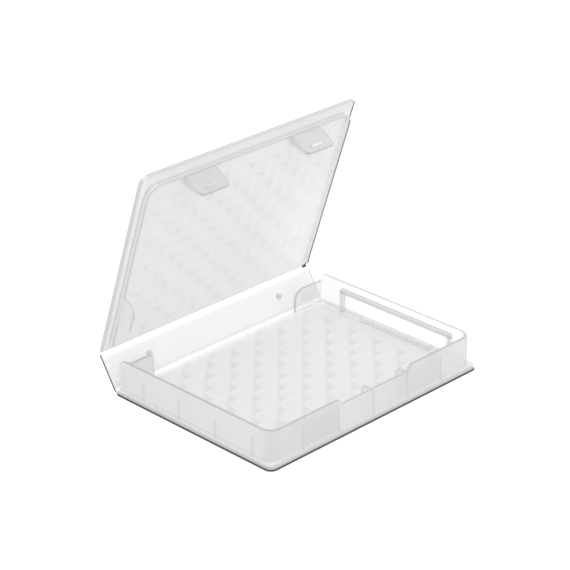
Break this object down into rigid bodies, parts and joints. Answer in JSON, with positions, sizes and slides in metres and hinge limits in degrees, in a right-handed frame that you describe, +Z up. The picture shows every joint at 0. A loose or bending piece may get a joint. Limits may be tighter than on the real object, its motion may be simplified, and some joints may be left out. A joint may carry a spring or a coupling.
{
  "type": "hard drive case",
  "caption": "Translucent folding clamshell case for a small drive, with a ribbed tray, a spine panel and a rimmed lid on two living hinges.",
  "frame": {"origin": "middle of the tray's underside, on the surface that the case lies on", "axes": "+X along both folds, +Y from the opening front towards the folds, +Z up"},
  "size_m": [0.12, 0.1013, 0.1024],
  "materials": {
    "tray": "translucent white polypropylene, satin",
    "spine": "translucent white polypropylene, satin",
    "lid": "translucent white polypropylene, satin",
    "folds": "thin stretched polypropylene, whitened"
  },
  "bodies": {
    "tray": {"base_plate": "tray", "left_wall": "tray", "right_wall": "tray", "front_wall": "tray", "front_left_corner": "tray", "front_right_corner": "tray", "left_return_wall": "tray", "right_return_wall": "tray", "front_rib_1": "tray", "front_rib_2": "tray", "front_rib_3": "tray", "front_rib_4": "tray", "front_rib_5": "tray", "side_rib_1": "tray", "side_rib_2": "tray", "side_rib_3": "tray", "side_rib_4": "tray", "guard_bar": "tray", "guard_leg_front": "tray", "guard_leg_rear": "tray", "guard_sill": "tray", "catch_pad_left": "tray", "catch_pad_right": "tray", "lower_fold_web": "folds"},
    "spine": {"spine_panel": "spine", "spine_peg_left": "spine", "spine_peg_right": "spine", "upper_fold_web": "folds"},
    "lid": {"lid_panel": "lid", "lid_rim_left": "lid", "lid_rim_right": "lid", "lid_rim_front": "lid", "lid_rim_corner_left": "lid", "lid_rim_corner_right": "lid", "front_tab_left": "lid", "front_tab_right": "lid", "side_tab": "lid"}
  },
  "joints": [
    {"name": "lower_fold", "type": "hinge", "parent": "tray", "child": "spine", "pos_m": [0, 0.046, 0.00025], "axis": [1, 0, 0], "range_deg": [-58, 32]},
    {"name": "upper_fold", "type": "hinge", "parent": "spine", "child": "lid", "pos_m": [0, 0.05501, 0.01467], "axis": [1, 0, 0], "range_deg": [-51.5, 38.5]}
  ]
}
